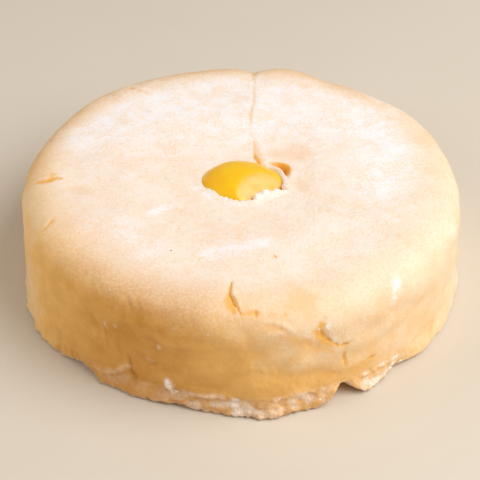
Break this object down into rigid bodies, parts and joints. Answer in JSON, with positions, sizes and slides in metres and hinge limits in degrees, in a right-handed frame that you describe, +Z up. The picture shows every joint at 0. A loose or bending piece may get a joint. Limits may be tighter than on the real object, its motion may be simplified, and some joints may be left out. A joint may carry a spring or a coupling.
{
  "type": "chestnut tart",
  "caption": "Round filled tart in a pale pastry wrap with a ragged foot, and a candied chestnut showing through a hole in its top.",
  "frame": {"origin": "middle of the tart's box seen from above, at the height of its flat underside", "axes": "+Z up through the hole in the top, -Y to the side that the picture shows, +X to that side's right"},
  "size_m": [0.0972, 0.0988, 0.0269],
  "materials": {
    "pastry": "matte",
    "candied_chestnut": "gloss"
  },
  "bodies": {
    "root": {"pastry_wrap": "pastry", "chestnut": "candied_chestnut"}
  },
  "joints": []
}
